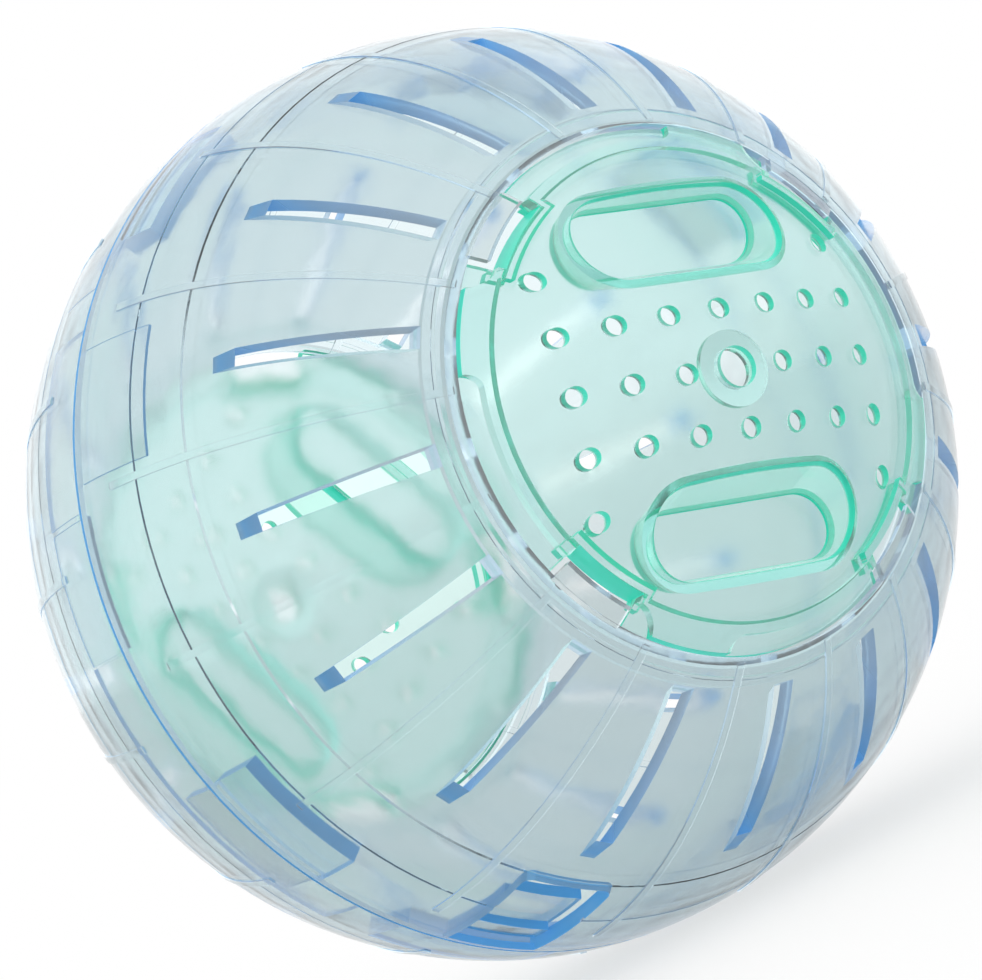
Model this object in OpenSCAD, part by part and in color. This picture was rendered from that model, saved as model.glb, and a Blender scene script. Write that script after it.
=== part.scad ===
// Clear two-tone exercise ball for a hamster.
// Two half shells meet at a seam with tongues and hooks, and each holds a bayonet
// lid in its mouth. Every module is drawn with the ball's axle along Z and
// the mouth at +Z, and the last step lays the axle along Y, front lid at -Y.

/* [Ball] */
// Outer radius of the ball
ball_r = 70; // [60:1:100]
// Wall of the half shells
wall = 2.4; // [2:0.1:3]
// Turn of the whole ball about its axle, from the front lid's hole rows level
spin = 15.75; // [0:0.25:45]

/* [Mouth] */
// Radius of the mouth that holds a lid
mouth_r = 39.5; // [34:0.5:44]
// Width of the thick collar round the mouth
collar_w = 2.6; // [2:0.1:4]
// How much thicker the collar is, on its inside
collar_extra = 0.7; // [0.4:0.1:1.2]
// How far the seat under the lid reaches into the mouth
seat_reach = 1.1; // [0.8:0.1:2]
// Thickness of the seat
seat_t = 0.8; // [0.6:0.1:1.2]
// How far each bayonet tab reaches into the mouth
tab_reach = 2.6; // [2:0.1:3.2]
// Thickness of a tab
tab_t = 1; // [0.8:0.1:1.2]
// Width of a tab, as an angle about the axle
tab_angle = 17.3; // [12:0.1:20]

/* [Vents and ribs] */
// Number of vent slots round each half
slot_count = 16; // [8:1:18]
// Width of a slot at its end near the lid
slot_w_inner = 3.4; // [2.5:0.1:4]
// Width of a slot at its end near the seam
slot_w_outer = 2.8; // [2:0.1:3.5]
// Distance from the mouth's edge to the slots
slot_start = 4; // [3.4:0.1:6]
// Length of a slot, seen along the axle
slot_run = 17.9; // [12:0.1:20]
// How much a slot narrows on each side from its outer face to its inner face
slot_draft = 0.2; // [0.15:0.05:0.6]
// Width of a grip rib
rib_w = 1.15; // [0.8:0.05:2]
// Height of a grip rib above the shell
rib_h = 0.25; // [0.2:0.05:0.6]
// Height above the seam at which the ribs end
rib_end_z = 9.05; // [8:0.05:12]
// Height above the seam of the lower panel line
line_low_z = 14.9; // [14:0.1:20]
// Height above the seam of the upper panel line
line_high_z = 25; // [22:0.1:28]
// Width of the panel lines
line_w = 0.4; // [0.2:0.05:0.6]

/* [Lid] */
// Clearance between a lid's edge and the mouth
lid_gap = 0.5; // [0.3:0.05:0.8]
// Wall of a lid's dome
lid_wall = 1.5; // [1.3:0.1:1.7]
// How far the dome lies below the lid's raised edge
lid_drop = 1.2; // [1:0.05:1.25]
// Width of the raised edge inside a lid's rim
lid_edge_w = 4; // [3.8:0.1:4.2]
// Width of the raised edge inside a notch
notch_edge_w = 1.4; // [1:0.1:1.5]
// How far the skirt behind a notch hangs below the dome
skirt_h = 1.2; // [0.8:0.1:1.6]
// Radius of the bore on the axle
bore_r = 3; // [2:0.1:4]
// Radius of the boss round the bore
boss_r = 5.6; // [4.5:0.1:5.9]
// How far the boss stands inside the lid
boss_h = 1.2; // [0.8:0.1:3]
// Radius of an air hole
hole_r = 1.5; // [1:0.1:1.8]
// Spacing of the air holes along their rows
hole_pitch_x = 8.3; // [7:0.1:9]
// Spacing of the rows of air holes
hole_pitch_y = 8.8; // [8:0.1:9.5]
// Radial depth of the notches that pass the tabs
notch_depth = 4.2; // [3.4:0.1:5]
// Play of a tab in its notch, on each side, as an angle
notch_play = 1.1; // [0.6:0.1:2]
// Length of the track that a tab runs in, as an angle
track_angle = 41.5; // [41.5:0.5:48]

/* [Finger recesses] */
// Distance of a recess from the axle
recess_y = 22.2; // [21.2:0.1:22.4]
// Half the distance between the centres of a recess's round ends
recess_half = 11.25; // [8:0.25:11.5]
// Radius of a recess's round ends, at the middle of its mouth
recess_r = 7.05; // [6:0.05:7.5]
// Depth of a recess
recess_depth = 8; // [5:0.25:10]
// How much narrower a recess's floor is, on each side
recess_draft = 2.2; // [1:0.1:3]
// Wall of a recess
recess_wall = 1.5; // [1.2:0.1:1.6]

/* [Seam] */
// Gap between the half shells at the seam
seam_open = 0.1; // [0.1:0.05:0.3]
// Clearance of tongues and hooks from the walls round them
seam_gap = 0.3; // [0.2:0.05:0.4]
// How much thinner the rear wall is where a tongue lies behind it
relief = 0.6; // [0.4:0.1:0.8]
// Depth of the thinned places below the seam
relief_depth = 12.3; // [10:0.1:14]
// Thickness of the tongues
tongue_t = 1.5; // [1.2:0.1:2]
// Length of the tongues below the seam
tongue_len = 10.5; // [6:0.5:11.5]
// Width of the tongues, as an angle about the axle
tongue_angle = 18; // [12:0.5:22]
// Height of the blocks that the tongues grow from
block_h = 8.6; // [6:0.1:11]
// Thickness of the blocks, with the wall
block_t = 4.8; // [4.2:0.1:6]
// Width of the stop blocks of the rear half, as an angle
stop_angle = 16.8; // [12:0.2:17]
// Thickness of a hook
hook_t = 1.6; // [1.4:0.1:2]
// Height of the hooks above the seam
hook_h = 16; // [14:0.5:22]
// Width of a hook's window
window_w = 14.6; // [12:0.1:16]
// Radius of a window's upper corners
window_corner = 1.6; // [1:0.1:3]
// Height above the seam at which the hook windows start
window_low = 1.2; // [1:0.1:3]
// Height above the seam at which the hook windows end
window_high = 23.6; // [23.4:0.1:27]
// Size of the chamfer along the seam
seam_chamfer = 0.3; // [0.2:0.05:0.4]

/* [Lid positions] */
// How far a lid turns between its open and its locked place
lock_angle = 42; // [25:1:42]

/* [Hidden] */
$fn = 96;

// Overrun of every cut past the face that it opens
over = 1;
// A shallow bite that fuses a raised piece with its wall
bite = 0.6;

// Shell
inner_r = ball_r - wall;
collar_r = mouth_r + collar_w;
collar_inner_r = inner_r - collar_extra;

// Angles are read about the axle from the line of the front lid's hole rows
full_turn = 360;
quarter = full_turn / 4;
half_turn = full_turn / 2;
tab_count = 4;
tab_phase = quarter / 2;
slot_step = full_turn / slot_count;
slot_phase = 4.5;
rib_phase = slot_phase + slot_step / 2;
rear_turn = 174;

// Slots and ribs
slot_r0 = mouth_r + slot_start;
slot_r1 = slot_r0 + slot_run;
slot_taper = (slot_w_inner - slot_w_outer) / 2 / slot_run;
slot_turn = atan(slot_taper);
slot_wall_y = (slot_w_inner / 2 + slot_r0 * slot_taper) * cos(slot_turn);
slot_slope = slot_draft / wall;
rib_start_share = 0.28;
rib_r0 = mouth_r + collar_w * rib_start_share;
line_depth_share = 0.6;

// Lid
lid_r = mouth_r - lid_gap;
lid_top_r = ball_r - lid_drop;
lid_inner_r = lid_top_r - lid_wall;
lid_edge_z = sqrt(pow(lid_inner_r, 2) - pow(lid_r, 2));
seat_gap = 0.2;
seat_z = lid_edge_z - seat_gap;
tab_r = mouth_r - tab_reach;
tab_skin = 0.1;
tab_top_r = ball_r - tab_skin;
tab_low_r = tab_top_r - tab_t;
track_floor_r = tab_low_r - seat_gap;
track_r = tab_r - seam_gap;
notch_r = lid_r - notch_depth;
notch_angle = tab_angle + 2 * notch_play;
notch_edge_r = notch_r - notch_edge_w;
notch_edge_angle = notch_angle + 2 * notch_edge_w / notch_r * half_turn / PI;
track_end_r = lid_r - track_r;
catch_r = 4.6;
catch_out = 1.4;
hole_cols = [-3:3];
hole_rows = [-1:1];
corner_col = 3;
corner_row = 2;

// Finger recesses
recess_mid_z = sqrt(pow(lid_top_r, 2) - pow(recess_y, 2));
recess_floor_z = recess_mid_z - recess_depth;
recess_slope = recess_draft / recess_depth;
recess_top_z = ball_r + over;

// Seam pieces, each set given by the angles of its middles
tongue_places = [39.8, 129.8, 219.8, 309.8];
window_places = [33.5, 123.5, 213.5, 303.5];
window_width = 43;
pad_places = [162.5, 342.5];
pad_angle = 17;
pad_window_angle = 23.4;
pad_h = 15.7;
stop_places = [3.25, 93.25, 183.25, 273.25];
hook_places = [72.3, 252.3];
hook_root_angle = 22;
// A clearance along the seam, as an angle at the ball's surface
gap_angle = seam_gap / ball_r * half_turn / PI;
hook_angle = window_w / ball_r * half_turn / PI - 2 * gap_angle;
// How much narrower a piece is than the one that it grows from, as an angle
side_step = 1;
nib_angle = hook_angle - side_step;

// Seam radii. Raised pieces are welded well inside the thinned wall
relief_r = inner_r + relief;
weld_r = relief_r + (ball_r - relief_r) / 2;
tongue_r = relief_r - seam_gap;
tongue_in_r = tongue_r - tongue_t;
root_step = 0.2;
block_r = ball_r - block_t;
pad_step = 0.4;
pad_r = inner_r - pad_step;
// Inside every seam piece
core_share = 0.5;
core_r = ball_r * core_share;
seam_z = seam_open / 2;
stop_r = inner_r - relief;
hook_r = inner_r - seam_gap;
hook_in_r = hook_r - hook_t;
hook_root_r = hook_in_r - root_step;
nib_out = 1.3;
nib_r = hook_r + nib_out;
nib_play = 2;
nib_h = 4;
nib_low = window_low + nib_play;
nib_high = nib_low + nib_h;
nib_relief_r = nib_r + seam_gap;
hook_foot = 6;
rib_short_z = 13;

// Ring sector from angle a0 to a1, radius r0 to r1 and height z0 to z1
module sector(a0, a1, r0, r1, z0, z1) {
    translate([0, 0, z0])
        rotate([0, 0, a0])
            rotate_extrude(angle = a1 - a0)
                translate([r0, 0])
                    square([r1 - r0, z1 - z0]);
}

// The space between two spheres on one centre
module hollow(r_out, r_in) {
    difference() {
        sphere(r_out);
        sphere(r_in);
    }
}

// Part of a hollow sphere inside a ring sector round a middle angle
module plate(mid, angle, r_out, r_in, z0, z1) {
    intersection() {
        hollow(r_out, r_in);
        sector(mid - angle / 2, mid + angle / 2, core_r, ball_r + over, z0, z1);
    }
}

// A thin groove round the ball at a height
module panel_line(z) {
    r = sqrt(pow(ball_r, 2) - pow(z, 2));
    depth = line_w * line_depth_share;
    translate([0, 0, z])
        rotate_extrude()
            polygon([
                [r - depth, 0],
                [r + depth, -line_w],
                [r + depth, line_w]
            ]);
}

// One side wall of a slot, as a disc whose coned face leans outwards
module slot_side() {
    low = inner_r - 2 * over;
    high = ball_r + over;
    rotate([0, 0, -slot_turn])
        rotate([quarter, 0, 0])
            rotate_extrude()
                polygon([
                    [low, 2 * slot_w_inner],
                    [high, 2 * slot_w_inner],
                    [high, -slot_wall_y - slot_slope * over],
                    [low, -slot_wall_y + slot_slope * (ball_r - low)]
                ]);
}

// One vent slot between two side walls, with ends cut along the axle
module slot_cut() {
    intersection() {
        slot_side();
        mirror([0, 1, 0])
            slot_side();
        translate([slot_r0, -slot_w_inner, line_high_z - over])
            cube([slot_run, 2 * slot_w_inner, ball_r]);
    }
}

// One grip rib on the outside, from the mouth's collar down to a height
module grip_rib(z_end) {
    intersection() {
        hollow(ball_r + rib_h, ball_r - bite);
        translate([rib_r0, -rib_w / 2, z_end])
            cube([ball_r, rib_w, ball_r]);
    }
}

// Whether a rib runs down onto a tongue's block
function over_block(a) =
    len([for (p = tongue_places) if (abs(a - p) < tongue_angle / 2) p]) > 0;

// Half shell with its collar, seat, tabs and vents, before the seam is made
module half_body() {
    difference() {
        union() {
            difference() {
                hollow(ball_r, inner_r);
                translate([0, 0, -ball_r - over])
                    cylinder(h = ball_r + over + seam_z, r = ball_r + over);
            }
            intersection() {
                hollow(inner_r + bite, collar_inner_r);
                cylinder(h = ball_r, r = collar_r);
            }
        }
        cylinder(h = ball_r + over, r = mouth_r);
        for (i = [0 : slot_count - 1])
            rotate([0, 0, slot_phase + i * slot_step])
                slot_cut();
        panel_line(line_low_z);
        panel_line(line_high_z);
        panel_line(sqrt(pow(ball_r, 2) - pow(collar_r, 2)));
    }
    translate([0, 0, seat_z - seat_t])
        difference() {
            cylinder(h = seat_t, r = mouth_r + bite);
            translate([0, 0, -over])
                cylinder(h = seat_t + 2 * over, r = mouth_r - seat_reach);
        }
    for (i = [0 : tab_count - 1])
        intersection() {
            hollow(tab_top_r, tab_low_r);
            sector(tab_phase + i * quarter - tab_angle / 2,
                tab_phase + i * quarter + tab_angle / 2,
                tab_r, mouth_r + bite, seat_z, ball_r);
        }
}

// Chamfer round the outer edge of the seam
module seam_groove() {
    rotate_extrude()
        polygon([
            [ball_r - seam_chamfer, 0],
            [ball_r + seam_chamfer, -2 * seam_chamfer],
            [ball_r + seam_chamfer, 2 * seam_chamfer]
        ]);
}

// Window for a hook, with rounded upper corners, and the lead below it for the nib
module window_cut() {
    half = window_w / 2;
    side = half - window_corner;
    translate([core_r, -half, window_low])
        cube([ball_r, window_w, window_high - window_corner - window_low]);
    translate([core_r, -side, window_low])
        cube([ball_r, 2 * side, window_high - window_low]);
    for (s = [-1, 1])
        translate([core_r, s * side, window_high - window_corner])
            rotate([0, quarter, 0])
                cylinder(h = ball_r, r = window_corner);
    intersection() {
        sphere(nib_relief_r);
        translate([core_r, -half, -over])
            cube([ball_r, window_w, window_low + 2 * over]);
    }
}

// Front half shell: tongues below the seam, and windows for the rear half's hooks
module front_shell_shape() {
    difference() {
        union() {
            half_body();
            for (i = [0 : slot_count - 1]) {
                a = rib_phase + i * slot_step;
                rotate([0, 0, a])
                    grip_rib(over_block(a) ? rib_short_z : rib_end_z);
            }
            for (a = tongue_places) {
                plate(a, tongue_angle, weld_r, block_r, seam_z, block_h);
                plate(a, tongue_angle - side_step, tongue_r, tongue_in_r, -tongue_len, block_h / 2);
            }
            for (a = pad_places)
                plate(a, pad_angle, weld_r, pad_r, seam_z, pad_h);
        }
        seam_groove();
        for (a = hook_places)
            rotate([0, 0, a])
                window_cut();
    }
}

// Rear half shell, in the front shell's frame: thinned windows, stops and hooks
module rear_shell_shape() {
    difference() {
        union() {
            difference() {
                rear_side()
                    half_body();
                for (a = window_places)
                    plate(a, window_width, relief_r, block_r, -relief_depth, over);
                for (a = pad_places)
                    plate(a, pad_window_angle, relief_r, block_r, -relief_depth, over);
            }
            rear_side()
                for (i = [0 : slot_count - 1])
                    rotate([0, 0, rib_phase + i * slot_step])
                        grip_rib(rib_end_z);
            for (a = stop_places)
                plate(a, stop_angle, weld_r, stop_r, -relief_depth, -seam_z);
            for (a = hook_places) {
                plate(a, hook_root_angle, weld_r, hook_root_r, -relief_depth, -seam_z);
                plate(a, hook_angle, hook_r, hook_in_r, -hook_foot, hook_h);
                plate(a, nib_angle, nib_r, hook_r - bite, nib_low, nib_high);
            }
        }
        seam_groove();
    }
}

// A recess's form, grown by a wall: two cones joined by a tapered bar
module recess_form(grow, z0, z1) {
    function r_at(z) = recess_r + grow + (z - recess_mid_z) * recess_slope;
    for (s = [-1, 1])
        translate([s * recess_half, 0, z0])
            cylinder(h = z1 - z0, r1 = r_at(z0), r2 = r_at(z1));
    translate([-recess_half, 0, 0])
        rotate([quarter, 0, quarter])
            linear_extrude(2 * recess_half)
                polygon([
                    [-r_at(z0), z0],
                    [r_at(z0), z0],
                    [r_at(z1), z1],
                    [-r_at(z1), z1]
                ]);
}

// Ring sector of the lid's edge, cut down to the floor of the tracks
module edge_cut() {
    intersection() {
        hollow(ball_r + over, track_floor_r);
        children();
    }
}

// A ring sector behind every notch, from a radius outwards
module notch_sectors(r0, r1) {
    for (i = [0 : tab_count - 1])
        sector(tab_phase + i * quarter - notch_edge_angle / 2,
            tab_phase + i * quarter + notch_edge_angle / 2, r0, r1, 0, ball_r + over);
}

// The space over a lid's dome, inside its raised edge
module dome_space() {
    difference() {
        hollow(ball_r + over, lid_top_r);
        difference() {
            cylinder(h = ball_r + 2 * over, r = ball_r + 2 * over);
            cylinder(h = ball_r + 2 * over, r = lid_r - lid_edge_w);
        }
        notch_sectors(notch_edge_r, mouth_r);
    }
}

// Lid: a dome in a raised bayonet edge, with recesses, air holes and a bore
module lid_shape() {
    difference() {
        union() {
            difference() {
                intersection() {
                    hollow(ball_r, lid_inner_r);
                    cylinder(h = ball_r + over, r = lid_r);
                }
                dome_space();
            }
            intersection() {
                hollow(lid_inner_r + bite, lid_inner_r - skirt_h);
                notch_sectors(notch_edge_r, notch_r + over);
            }
            intersection() {
                sphere(lid_top_r);
                for (s = [-1, 1])
                    translate([0, s * recess_y, 0])
                        recess_form(recess_wall, recess_floor_z - recess_wall, recess_top_z);
            }
            intersection() {
                sphere(lid_top_r);
                translate([0, 0, lid_inner_r - boss_h])
                    cylinder(h = boss_h + lid_wall, r = boss_r);
            }
        }
        for (s = [-1, 1])
            translate([0, s * recess_y, 0])
                recess_form(0, recess_floor_z, recess_top_z);
        cylinder(h = ball_r + over, r = bore_r);
        for (i = hole_cols, j = hole_rows)
            if (i != 0 || j != 0)
                translate([i * hole_pitch_x, j * hole_pitch_y, 0])
                    cylinder(h = ball_r + over, r = hole_r);
        for (s = [-1, 1], t = [-1, 1])
            if (s * t < 0)
                translate([s * corner_col * hole_pitch_x, t * corner_row * hole_pitch_y, 0])
                    cylinder(h = ball_r + over, r = hole_r);
        for (i = [0 : tab_count - 1])
            rotate([0, 0, tab_phase + i * quarter])
                bayonet_cuts();
    }
}

// One notch with the track on one side of it and the finger catch on the other
module bayonet_cuts() {
    half = notch_angle / 2;
    sector(-half, half, notch_r, mouth_r + over, 0, ball_r + over);
    edge_cut()
        sector(-half - track_angle, -half + gap_angle, track_r, mouth_r + over, 0, ball_r + over);
    edge_cut()
        rotate([0, 0, -half - track_angle])
            translate([lid_r, 0, 0])
                cylinder(h = ball_r + over, r = track_end_r);
    edge_cut()
        rotate([0, 0, half])
            translate([lid_r + catch_out, 0, 0])
                cylinder(h = ball_r + over, r = catch_r);
}

// Lays the axle along Y with the front lid at -Y and turns the ball about it
module lay_down() {
    rotate([quarter, 0, 0])
        rotate([0, 0, -spin])
            children();
}

// The rear half's own frame, with its mouth towards the back of the ball
module rear_side() {
    rotate([0, 0, rear_turn])
        rotate([half_turn, 0, 0])
            children();
}

module front_shell() {
    color("lightsteelblue", 0.4)
        lay_down()
            front_shell_shape();
}

module rear_shell() {
    color("lightblue", 0.4)
        lay_down()
            rear_shell_shape();
}

module front_lid() {
    color("aquamarine", 0.6)
        lay_down()
            lid_shape();
}

module rear_lid() {
    color("mediumaquamarine", 0.6)
        lay_down()
            rear_side()
                rotate([0, 0, lock_angle])
                    lid_shape();
}

front_shell();
rear_shell();
front_lid();
rear_lid();
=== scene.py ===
import math

import bmesh
import bpy
from bpy.props import FloatProperty, FloatVectorProperty, PointerProperty
from bpy.types import Operator, Panel, PropertyGroup
from mathutils import Matrix, Quaternion, Vector


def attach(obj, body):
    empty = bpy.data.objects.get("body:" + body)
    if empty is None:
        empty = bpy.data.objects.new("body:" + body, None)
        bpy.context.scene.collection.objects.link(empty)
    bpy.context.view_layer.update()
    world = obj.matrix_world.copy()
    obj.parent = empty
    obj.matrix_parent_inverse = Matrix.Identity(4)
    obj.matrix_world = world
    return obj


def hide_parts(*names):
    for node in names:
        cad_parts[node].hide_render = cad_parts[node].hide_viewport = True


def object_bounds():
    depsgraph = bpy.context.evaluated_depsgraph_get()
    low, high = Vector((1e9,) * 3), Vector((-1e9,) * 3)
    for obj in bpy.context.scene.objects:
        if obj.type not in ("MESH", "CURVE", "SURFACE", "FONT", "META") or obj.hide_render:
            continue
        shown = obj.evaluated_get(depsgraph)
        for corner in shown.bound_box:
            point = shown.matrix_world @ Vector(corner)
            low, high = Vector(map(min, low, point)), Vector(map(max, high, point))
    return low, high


bl_info = {
    "name": "Hamster Exercise Ball",
    "version": (1, 0, 0),
    "blender": (4, 5, 0),
    "location": "View3D > Sidebar > Exercise Ball",
    "description": "Dresses the packed exercise ball in clear plastic, bores two air holes more in each lid "
                   "and lights the ball on a pale stage",
    "category": "Object",
}

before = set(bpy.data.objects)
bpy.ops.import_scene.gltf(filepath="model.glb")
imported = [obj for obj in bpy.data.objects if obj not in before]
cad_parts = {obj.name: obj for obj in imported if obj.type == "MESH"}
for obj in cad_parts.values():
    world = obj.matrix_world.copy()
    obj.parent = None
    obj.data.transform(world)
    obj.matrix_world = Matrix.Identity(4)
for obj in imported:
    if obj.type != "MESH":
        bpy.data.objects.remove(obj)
CAD_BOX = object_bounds()

MM = 0.001

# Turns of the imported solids, in degrees: the ball about its axle, the rear half against the
# front one, and a locked lid against an open one
BALL_SPIN = -15.75
REAR_TURN = 174
LOCK_TURN = 42

# A lid's corner air holes lie three columns and two rows from the axle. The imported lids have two
# of the four, and the other two are bored here. The spacings are in millimetres, and so is the
# height of the drill's middle over the ball's centre
COLUMN_SPACE = 8.3
ROW_SPACE = 8.8
DRILL_HEIGHT = 65.0
CORNER_HOLES = [Vector((side * 3 * COLUMN_SPACE, side * 2 * ROW_SPACE, DRILL_HEIGHT)) * MM
                for side in (1, -1)]
HOLE_R = 1.5 * MM
DRILL_LENGTH = 30 * MM
DRILL_SIDES = 48
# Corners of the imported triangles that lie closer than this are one
WELD = 0.001 * MM

# A face is level where it follows the ball's own curve (1), and steep where it stands across it
# (0). Each pair gives the most that counts as steep and the soft edge above it
CLEAR_STEEP = (0.55, 0.25)
SHELL_STEEP = (0.90, 0.05)
LID_STEEP = (0.60, 0.20)

# Soft edge of a mark, where it has none of its own
SOFT = 0.1 * MM

# Marks on a shell: the collar's edge, a hair over the outer face, the seam, the panel lines, and
# the heights between which a slot's tint fades
COLLAR_R = 42.5 * MM
COLLAR_SOFT = 0.5 * MM
SKIN_R = 70.01 * MM
SKIN_SOFT = 0.04 * MM
SEAM = 0.1 * MM
LINE_HEIGHTS = (14.9 * MM, 25 * MM)
LINE_HALF = 0.5 * MM
LINE_R = (69.7 * MM, 70.1 * MM)
SLOT_SEAM_END = 30 * MM
SLOT_MOUTH_END = 50 * MM
SLOT_MOUTH_SHARE = 0.35

# Marks on a lid: the lip of a hole or recess, the dome's edge, the rim, a notch's inner wall and
# the foot of a recess
LIP_R = 67.8 * MM
LIP_SOFT = 0.4 * MM
DOME_R = 34.3 * MM
RIM_R = 38.8 * MM
NOTCH_R = (34.7 * MM, 34.9 * MM)
NOTCH_SOFT = 0.05 * MM
FOOT = (54.7 * MM, 57.5 * MM)
LID_SOFT = 0.3 * MM

# Plastic where it shows its full edge tint: light let through, roughness, and a painted glow, an emission
# that stands in for light piped along the sheet
CUT_CLEAR = 0.25
CUT_ROUGH = 0.3
PAINTED_GLOW = 0.26
POLYSTYRENE_IOR = 1.5
# A density over the strongest absorption keeps every colour of the volume above black
DENSITY_SHARE = 1.25

# Stage. Light crosses many walls of the clear ball, so its paths are long
BOUNCES = 64
FLOOR_SIZE = 20.0
FLOOR_GAP = 0.2 * MM
FLOOR_LIFT = 0.65
FLOOR_THROUGH = 0.68
ROOM_MIRRORED = 1.3

# The photograph's view, in degrees: the camera stands to the left of the axle, which is minus,
# and a little above level, and it is rolled over. It is also moved right and up, in pixels of
# the photograph, which sets the ball off the middle the other way
VIEW_ACROSS = -34.64
VIEW_TALL = 0.18
VIEW_ROLL = -27.86
PHOTO_PIXELS = 982
MOVED_RIGHT_PIXELS = -0.9
MOVED_UP_PIXELS = 4.2
SENSOR_MM = 36.0
CLIP_NEAR = 0.01
CLIP_FAR = 100.0


# Helpers

def linear(hex_colour):
    """An sRGB hex colour as Blender's linear RGB."""
    channels = []
    for i in (0, 2, 4):
        c = int(hex_colour[i:i + 2], 16) / 255
        channels.append(c / 12.92 if c <= 0.04045 else ((c + 0.055) / 1.055) ** 2.4)
    return tuple(channels)


def turned(degrees, axis):
    return Matrix.Rotation(math.radians(degrees), 4, axis)


def join_to_scene(obj):
    bpy.context.scene.collection.objects.link(obj)
    return obj


def new_tree(block):
    """The empty node tree of a new material or world."""
    block.use_nodes = True
    block.node_tree.nodes.clear()
    return block.node_tree


def add_node(tree, kind, links=None, **settings):
    """Adds a node, sets its values by attribute or socket name, and links its inputs."""
    made = tree.nodes.new(kind)
    for key, value in settings.items():
        if hasattr(made, key):
            setattr(made, key, value)
        else:
            made.inputs[key.replace("_", " ")].default_value = value
    for socket, source in (links or {}).items():
        tree.links.new(source, made.inputs[socket])
    return made


def spread(tree, value, low, high, start=0.0, end=1.0):
    """A value's run from start to end, turned into one from low to high and held there."""
    made = add_node(tree, "ShaderNodeMapRange", {"Value": value},
                    From_Min=start, From_Max=end, To_Min=low, To_Max=high)
    return made.outputs[0]


def joined(tree, operation, first, *others):
    for other in others:
        first = add_node(tree, "ShaderNodeMath", {0: first, 1: other}, operation=operation).outputs[0]
    return first


def times(tree, *values):
    return joined(tree, "MULTIPLY", *values)


def most(tree, *values):
    return joined(tree, "MAXIMUM", *values)


def above(tree, value, low, soft):
    """1 where a value is over a limit, fading to 0 over a soft edge below it."""
    return spread(tree, value, 0.0, 1.0, low - soft, low)


def below(tree, value, high, soft):
    """1 where a value is under a limit, fading to 0 over a soft edge above it."""
    return spread(tree, value, 1.0, 0.0, high, high + soft)


def within(tree, value, limits, soft):
    """1 where a value lies between two limits, fading to 0 over a soft edge outside them."""
    return times(tree, above(tree, value, limits[0], soft), below(tree, value, limits[1], soft))


# Bored lids

# The lids' own plane laid on the ball's axle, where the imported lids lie: the front one open, and
# the rear one turned to its locked place
FRONT_LID = turned(90, "X") @ turned(BALL_SPIN, "Z")
REAR_LID = FRONT_LID @ turned(REAR_TURN, "Z") @ turned(180, "X") @ turned(LOCK_TURN, "Z")


def drill(lay, place):
    """A round cutter along a lid's axle. Its sides carry the normals that the hole's wall gets."""
    work = bmesh.new()
    bmesh.ops.create_cone(work, cap_ends=True, segments=DRILL_SIDES, radius1=HOLE_R,
                          radius2=HOLE_R, depth=DRILL_LENGTH)
    facing = work.loops.layers.float_vector.new("true_normal")
    for face in work.faces:
        for loop in face.loops:
            side = Vector((loop.vert.co.x, loop.vert.co.y, 0)).normalized()
            loop[facing] = lay.to_3x3() @ -side
    bmesh.ops.transform(work, matrix=lay @ Matrix.Translation(place), verts=work.verts)
    mesh = bpy.data.meshes.new("drill")
    work.to_mesh(mesh)
    work.free()
    return join_to_scene(bpy.data.objects.new("drill", mesh))


def welded_copy(mesh):
    """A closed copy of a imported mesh, which keeps the true normals of its loose triangles."""
    mesh = mesh.copy()
    normals = [tuple(corner.vector) for corner in mesh.corner_normals]
    kept = mesh.attributes.new("true_normal", "FLOAT_VECTOR", "CORNER")
    for item, normal in zip(kept.data, normals):
        item.vector = normal
    work = bmesh.new()
    work.from_mesh(mesh)
    bmesh.ops.remove_doubles(work, verts=work.verts, dist=WELD)
    work.to_mesh(mesh)
    work.free()
    return mesh


def bore(piece, cutter):
    cut = piece.modifiers.new("bore", "BOOLEAN")
    cut.operation = "DIFFERENCE"
    cut.solver = "EXACT"
    cut.object = cutter
    done = piece.evaluated_get(bpy.context.evaluated_depsgraph_get())
    piece.data = bpy.data.meshes.new_from_object(done)
    piece.modifiers.clear()
    bpy.data.objects.remove(cutter)


def pierced_lid(node_name, body, lay, material):
    """Stands for a packed lid, with the two corner air holes that the solid lacks."""
    mesh = welded_copy(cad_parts[node_name].data)
    piece = join_to_scene(bpy.data.objects.new(node_name + "_pierced", mesh))
    for place in CORNER_HOLES:
        bore(piece, drill(lay, place))
    facing = [Vector(item.vector).normalized() for item in piece.data.attributes["true_normal"].data]
    piece.data.normals_split_custom_set(facing)
    piece.data.materials.clear()
    piece.data.materials.append(material)
    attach(piece, body)
    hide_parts(node_name)


# Materials

def dress(node_name, material):
    """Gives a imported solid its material. Its faces already carry the true normals of their curves."""
    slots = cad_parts[node_name].data.materials
    slots.clear()
    slots.append(material)


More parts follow.
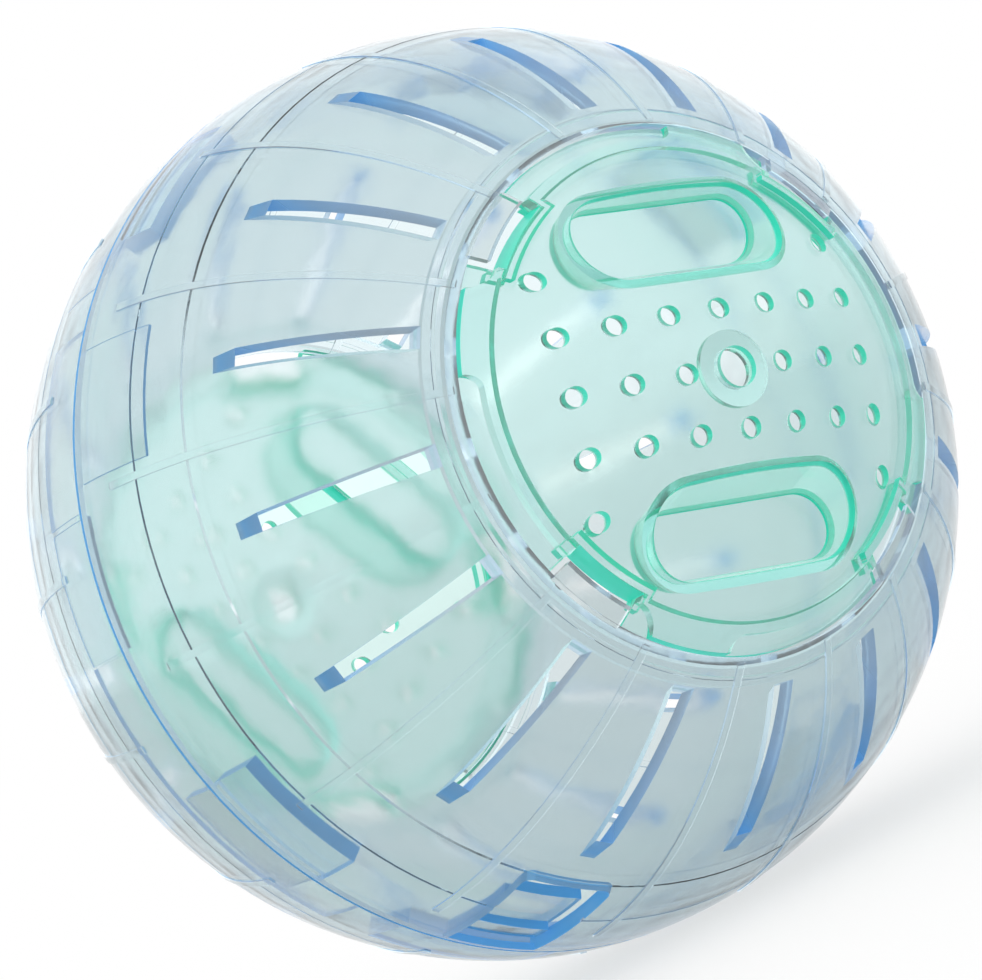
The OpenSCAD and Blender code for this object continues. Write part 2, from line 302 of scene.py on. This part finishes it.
def ball_places(tree):
    """Where a point of the ball lies, as a position and as its distance from the centre, from the
    axle and along the axle, and how level its face is."""
    coords = add_node(tree, "ShaderNodeTexCoord").outputs["Object"]
    radius = add_node(tree, "ShaderNodeVectorMath", {0: coords}, operation="LENGTH").outputs["Value"]
    apart = add_node(tree, "ShaderNodeSeparateXYZ", {0: coords})
    flat = add_node(tree, "ShaderNodeCombineXYZ", {"X": apart.outputs["X"], "Z": apart.outputs["Z"]})
    axle = add_node(tree, "ShaderNodeVectorMath", {0: flat.outputs[0]}, operation="LENGTH")
    along = add_node(tree, "ShaderNodeMath", {0: apart.outputs["Y"]}, operation="ABSOLUTE")
    outward = add_node(tree, "ShaderNodeVectorMath", {0: coords}, operation="NORMALIZE")
    face = add_node(tree, "ShaderNodeNewGeometry")
    level = add_node(tree, "ShaderNodeVectorMath",
                     {0: outward.outputs[0], 1: face.outputs["Normal"]}, operation="DOT_PRODUCT")
    level = add_node(tree, "ShaderNodeMath", {0: level.outputs["Value"]}, operation="ABSOLUTE")
    return coords, radius, axle.outputs["Value"], along.outputs[0], level.outputs[0]


def clear_polystyrene(name, opts, cut):
    """Injection-moulded clear polystyrene.

    Crystal polystyrene is water clear and glossy. A trace of dye leaves a thin wall almost
    colourless and collects in thick sections, so the colour is an absorption through the depth,
    given per millimetre for red, green and blue. Walls that cut through the sheet show a deep
    tint, partly the dye's own colour and partly painted light piped along the sheet, and they get
    a painted glow, an emission that stands in for that piped light: cut is a function that gives
    their share of it. Slow cooling leaves gentle flow waves and a trace of haze, and the faces
    lose a little light besides, which the face colour gives."""
    mat = bpy.data.materials.new(name)
    tree = new_tree(mat)
    coords, *places = ball_places(tree)
    waves = add_node(tree, "ShaderNodeTexNoise", {"Vector": coords},
                     Scale=1 / (opts.wave * MM), Detail=1.0, Roughness=0.4)
    bump = add_node(tree, "ShaderNodeBump", {"Height": waves.outputs["Fac"]},
                    Strength=1.0, Distance=opts.wave_depth * MM)
    # A steep face that stays clear still takes its own shares of the edge tint and of the painted glow
    steep = below(tree, places[-1], *CLEAR_STEEP)
    share = most(tree, cut(tree, *places), spread(tree, steep, 0.0, opts.clear_tint))
    # Painted glow: the emission share on steep and cut walls, which stands in for light piped along the
    # sheet
    painted_glow_share = most(tree, spread(tree, steep, 0.0, opts.clear_painted_glow), share)
    tint = add_node(tree, "ShaderNodeMix", {"Factor": share}, data_type="RGBA")
    # Sockets 6 and 7 are the two colours. Their names are those of the number sockets too
    tint.inputs[6].default_value = (*opts.face, 1)
    tint.inputs[7].default_value = (*opts.edge, 1)
    surface = add_node(tree, "ShaderNodeBsdfPrincipled",
                       {"Normal": bump.outputs["Normal"], "Base Color": tint.outputs[2],
                        "Transmission Weight": spread(tree, share, 1.0, CUT_CLEAR),
                        "Roughness": spread(tree, share, opts.haze, CUT_ROUGH),
                        "Emission Color": tint.outputs[2],
                        "Emission Strength": spread(tree, painted_glow_share, 0.0, PAINTED_GLOW)},
                       IOR=POLYSTYRENE_IOR)
    density = max(opts.absorbs) * DENSITY_SHARE
    kept = [1 - a / density for a in opts.absorbs]
    depth = add_node(tree, "ShaderNodeVolumeAbsorption", Color=(*kept, 1), Density=density / MM)
    add_node(tree, "ShaderNodeOutputMaterial",
             {"Surface": surface.outputs["BSDF"], "Volume": depth.outputs["Volume"]})
    return mat


def shell_cut(tree, radius, axle, along, level):
    """Slots, windows and blocks show the tint and the painted glow. The polished collar round a lid,
    the ribs, the panel lines and the faces that meet at the seam stay clear."""
    share = times(tree, below(tree, level, *SHELL_STEEP), above(tree, axle, COLLAR_R, COLLAR_SOFT),
                  below(tree, radius, SKIN_R, SKIN_SOFT), above(tree, along, SEAM, SOFT))
    for height in LINE_HEIGHTS:
        line = times(tree, within(tree, along, (height - LINE_HALF, height + LINE_HALF), SOFT),
                     within(tree, radius, LINE_R, SOFT))
        share = times(tree, share, spread(tree, line, 1.0, 0.0))
    # A slot's wall is deepest at its seam end and almost clear at its mouth end
    fade = spread(tree, along, 1.0, SLOT_MOUTH_SHARE, SLOT_SEAM_END, SLOT_MOUTH_END)
    return times(tree, share, fade)


def lid_cut(tree, radius, axle, along, level):
    """A lid's rim, notches and holes show the tint and the painted glow, and so do the lip and foot of each
    recess.
    """
    lip = times(tree, above(tree, radius, LIP_R, LIP_SOFT), below(tree, axle, DOME_R, LID_SOFT))
    rim = above(tree, axle, RIM_R, SOFT)
    notch = within(tree, axle, NOTCH_R, NOTCH_SOFT)
    foot = within(tree, along, FOOT, LID_SOFT)
    return times(tree, below(tree, level, *LID_STEEP), most(tree, lip, rim, notch, foot))


# Properties

class ShellSettings(PropertyGroup):
    """The blue half shells."""
    face: FloatVectorProperty(
        name="Face tint", description="Colour of the light that a polished face lets through",
        default=linear("E6E9E8"), min=0.0, max=1.0, subtype="COLOR")
    # The edge colour is the walls' dye tint and also the colour of their painted glow, an emission that
    # stands in for light piped along the sheet
    edge: FloatVectorProperty(
        name="Edge tint", description="Colour that the walls of slots and windows glow with",
        default=linear("62B0EA"), min=0.0, max=1.0, subtype="COLOR")
    absorbs: FloatVectorProperty(
        name="Absorption", description="Red, green and blue lost in each millimetre of plastic",
        default=(0.056, 0.026, 0.014), min=0.0, max=2.0)
    clear_tint: FloatProperty(
        name="Clear wall tint", description="Share of the edge tint on a steep face that stays clear",
        default=0.10, min=0.0, max=1.0)
    # Share of the painted glow, an emission standing in for piped light, on a steep face that stays clear
    clear_painted_glow: FloatProperty(
        name="Clear wall glow", description="Share of the glow on a steep face that stays clear",
        default=1.0, min=0.0, max=1.0)
    haze: FloatProperty(
        name="Haze", description="Roughness of the polished faces",
        default=0.1, min=0.0, max=0.5)
    wave: FloatProperty(
        name="Flow wave", description="Spacing of the flow waves in the moulded wall, in millimetres",
        default=6.0, min=4.0, max=60.0)
    wave_depth: FloatProperty(
        name="Wave depth", description="Height of the flow waves, in millimetres",
        default=0.06, min=0.0, max=1.0)


class LidSettings(PropertyGroup):
    """The mint lids."""
    face: FloatVectorProperty(
        name="Face tint", description="Colour of the light that a polished face lets through",
        default=linear("E6F3F1"), min=0.0, max=1.0, subtype="COLOR")
    # The edge colour is the walls' dye tint and also the colour of their painted glow, an emission that
    # stands in for light piped along the sheet
    edge: FloatVectorProperty(
        name="Edge tint", description="Colour that the rim and the walls of holes glow with",
        default=linear("42E2C4"), min=0.0, max=1.0, subtype="COLOR")
    absorbs: FloatVectorProperty(
        name="Absorption", description="Red, green and blue lost in each millimetre of plastic",
        default=(0.08, 0.010, 0.020), min=0.0, max=2.0)
    clear_tint: FloatProperty(
        name="Clear wall tint", description="Share of the edge tint on a steep face that stays clear",
        default=0.20, min=0.0, max=1.0)
    # Share of the painted glow, an emission standing in for piped light, on a steep face that stays clear
    clear_painted_glow: FloatProperty(
        name="Clear wall glow", description="Share of the glow on a steep face that stays clear",
        default=0.45, min=0.0, max=1.0)
    haze: FloatProperty(
        name="Haze", description="Roughness of the polished faces",
        default=0.12, min=0.0, max=0.5)
    wave: FloatProperty(
        name="Flow wave", description="Spacing of the flow waves in the lid, in millimetres",
        default=6.0, min=4.0, max=60.0)
    wave_depth: FloatProperty(
        name="Wave depth", description="Height of the flow waves, in millimetres",
        default=0.05, min=0.0, max=1.0)


class StageSettings(PropertyGroup):
    """The floor, the light and the camera."""
    paper: FloatVectorProperty(
        name="Paper", description="Colour of the floor's paper",
        default=(0.35, 0.35, 0.35), min=0.0, max=1.0, subtype="COLOR")
    distance: FloatProperty(
        name="Camera distance", description="From the ball's centre to the camera",
        default=0.8617, min=0.2, max=5.0, subtype="DISTANCE", unit="LENGTH")
    lens: FloatProperty(
        name="Lens", description="Focal length on a 36 mm sensor, in millimetres",
        default=210.0, min=20.0, max=400.0)


# Operators

class OBJECT_OT_ball_shells(Operator):
    """Dress both half shells in clear blue polystyrene"""
    bl_idname = "object.ball_shells"
    bl_label = "Half shells"

    def execute(self, context):
        plastic = clear_polystyrene("clear_blue_polystyrene", context.scene.ball_shell, shell_cut)
        for node in ("front_shell", "rear_shell"):
            dress(node, plastic)
        return {"FINISHED"}


class OBJECT_OT_ball_lids(Operator):
    """Bore the last air holes of both bayonet lids and dress them in clear mint polystyrene"""
    bl_idname = "object.ball_lids"
    bl_label = "Bayonet lids"

    def execute(self, context):
        plastic = clear_polystyrene("clear_mint_polystyrene", context.scene.ball_lid, lid_cut)
        pierced_lid("front_lid", "front_cap", FRONT_LID, plastic)
        pierced_lid("rear_lid", "rear_cap", REAR_LID, plastic)
        return {"FINISHED"}


class OBJECT_OT_ball_stage(Operator):
    """Lay the pale floor, light the ball softly and set the photograph's camera"""
    bl_idname = "object.ball_stage"
    bl_label = "Stage"

    def execute(self, context):
        opts = context.scene.ball_stage
        self.floor(opts.paper)
        self.light()
        self.camera(opts.distance, opts.lens)
        context.scene.view_settings.view_transform = "Standard"
        context.scene.cycles.max_bounces = BOUNCES
        context.scene.cycles.transmission_bounces = BOUNCES
        return {"FINISHED"}

    def floor(self, colour):
        """Seamless white paper. The share it lacks of pure white is added where it is looked at,
        and a part of that where it is seen through the ball."""
        work = bmesh.new()
        bmesh.ops.create_grid(work, x_segments=1, y_segments=1, size=FLOOR_SIZE)
        bmesh.ops.translate(work, verts=work.verts, vec=(0, 0, CAD_BOX[0].z - FLOOR_GAP))
        mesh = bpy.data.meshes.new("floor")
        work.to_mesh(mesh)
        work.free()
        floor = join_to_scene(bpy.data.objects.new("floor", mesh))
        mat = bpy.data.materials.new("matt_white_paper")
        tree = new_tree(mat)
        path = add_node(tree, "ShaderNodeLightPath").outputs
        through = spread(tree, path["Is Transmission Ray"], 0.0, FLOOR_THROUGH)
        seen = joined(tree, "ADD", path["Is Camera Ray"], path["Is Glossy Ray"], through)
        lift = spread(tree, seen, 0.0, FLOOR_LIFT)
        paper = add_node(tree, "ShaderNodeBsdfDiffuse", Color=(*colour, 1))
        glow = add_node(tree, "ShaderNodeEmission", {"Strength": lift})
        both = add_node(tree, "ShaderNodeAddShader", {0: paper.outputs[0], 1: glow.outputs[0]})
        add_node(tree, "ShaderNodeOutputMaterial", {"Surface": both.outputs[0]})
        mesh.materials.append(mat)

    def light(self):
        """An even white room, a little brighter where the gloss mirrors it than behind the ball."""
        world = bpy.data.worlds.new("soft_white_room")
        bpy.context.scene.world = world
        tree = new_tree(world)
        mirrored = add_node(tree, "ShaderNodeLightPath").outputs["Is Glossy Ray"]
        sky = add_node(tree, "ShaderNodeBackground",
                       {"Strength": spread(tree, mirrored, 1.0, ROOM_MIRRORED)}, Color=(1, 1, 1, 1))
        add_node(tree, "ShaderNodeOutputWorld", {"Surface": sky.outputs[0]})

    def camera(self, distance, lens):
        """The photograph's view of the ball."""
        across, tall, roll = (math.radians(a) for a in (VIEW_ACROSS, VIEW_TALL, VIEW_ROLL))
        back = Vector((math.sin(across) * math.cos(tall), -math.cos(across) * math.cos(tall),
                       math.sin(tall)))
        right = Vector((0, 0, 1)).cross(back).normalized()
        up = back.cross(right)
        turn = Quaternion(back, roll)
        right, up = turn @ right, turn @ up
        pixel = distance * SENSOR_MM / lens / PHOTO_PIXELS
        aside = right * (MOVED_RIGHT_PIXELS * pixel)
        place = back * distance + aside + up * (MOVED_UP_PIXELS * pixel)
        cam = bpy.data.cameras.new("photo_camera")
        cam.sensor_width = SENSOR_MM
        cam.lens = lens
        cam.clip_start = CLIP_NEAR
        cam.clip_end = CLIP_FAR
        obj = join_to_scene(bpy.data.objects.new("photo_camera", cam))
        axes = Matrix((right, up, back)).transposed()
        obj.matrix_world = Matrix.Translation(place) @ axes.to_4x4()
        bpy.context.scene.camera = obj


class VIEW3D_PT_exercise_ball(Panel):
    bl_label = "Exercise Ball"
    bl_space_type = "VIEW_3D"
    bl_region_type = "UI"
    bl_category = "Exercise Ball"

    def draw(self, context):
        layout = self.layout
        for title, group, call in (
            ("Half shells", context.scene.ball_shell, "object.ball_shells"),
            ("Bayonet lids", context.scene.ball_lid, "object.ball_lids"),
            ("Stage", context.scene.ball_stage, "object.ball_stage"),
        ):
            box = layout.box()
            box.label(text=title)
            for key in group.__annotations__:
                box.prop(group, key)
            box.operator(call)


CLASSES = (ShellSettings, LidSettings, StageSettings, OBJECT_OT_ball_shells, OBJECT_OT_ball_lids,
           OBJECT_OT_ball_stage, VIEW3D_PT_exercise_ball)


def register():
    for made in CLASSES:
        bpy.utils.register_class(made)
    bpy.types.Scene.ball_shell = PointerProperty(type=ShellSettings)
    bpy.types.Scene.ball_lid = PointerProperty(type=LidSettings)
    bpy.types.Scene.ball_stage = PointerProperty(type=StageSettings)


def unregister():
    del bpy.types.Scene.ball_shell
    del bpy.types.Scene.ball_lid
    del bpy.types.Scene.ball_stage
    for made in reversed(CLASSES):
        bpy.utils.unregister_class(made)


def main():
    register()
    for call in (bpy.ops.object.ball_stage, bpy.ops.object.ball_shells, bpy.ops.object.ball_lids):
        if call() != {"FINISHED"}:
            raise RuntimeError("an operator did not finish")
    bpy.context.view_layer.update()


if __name__ == "__main__":
    main()
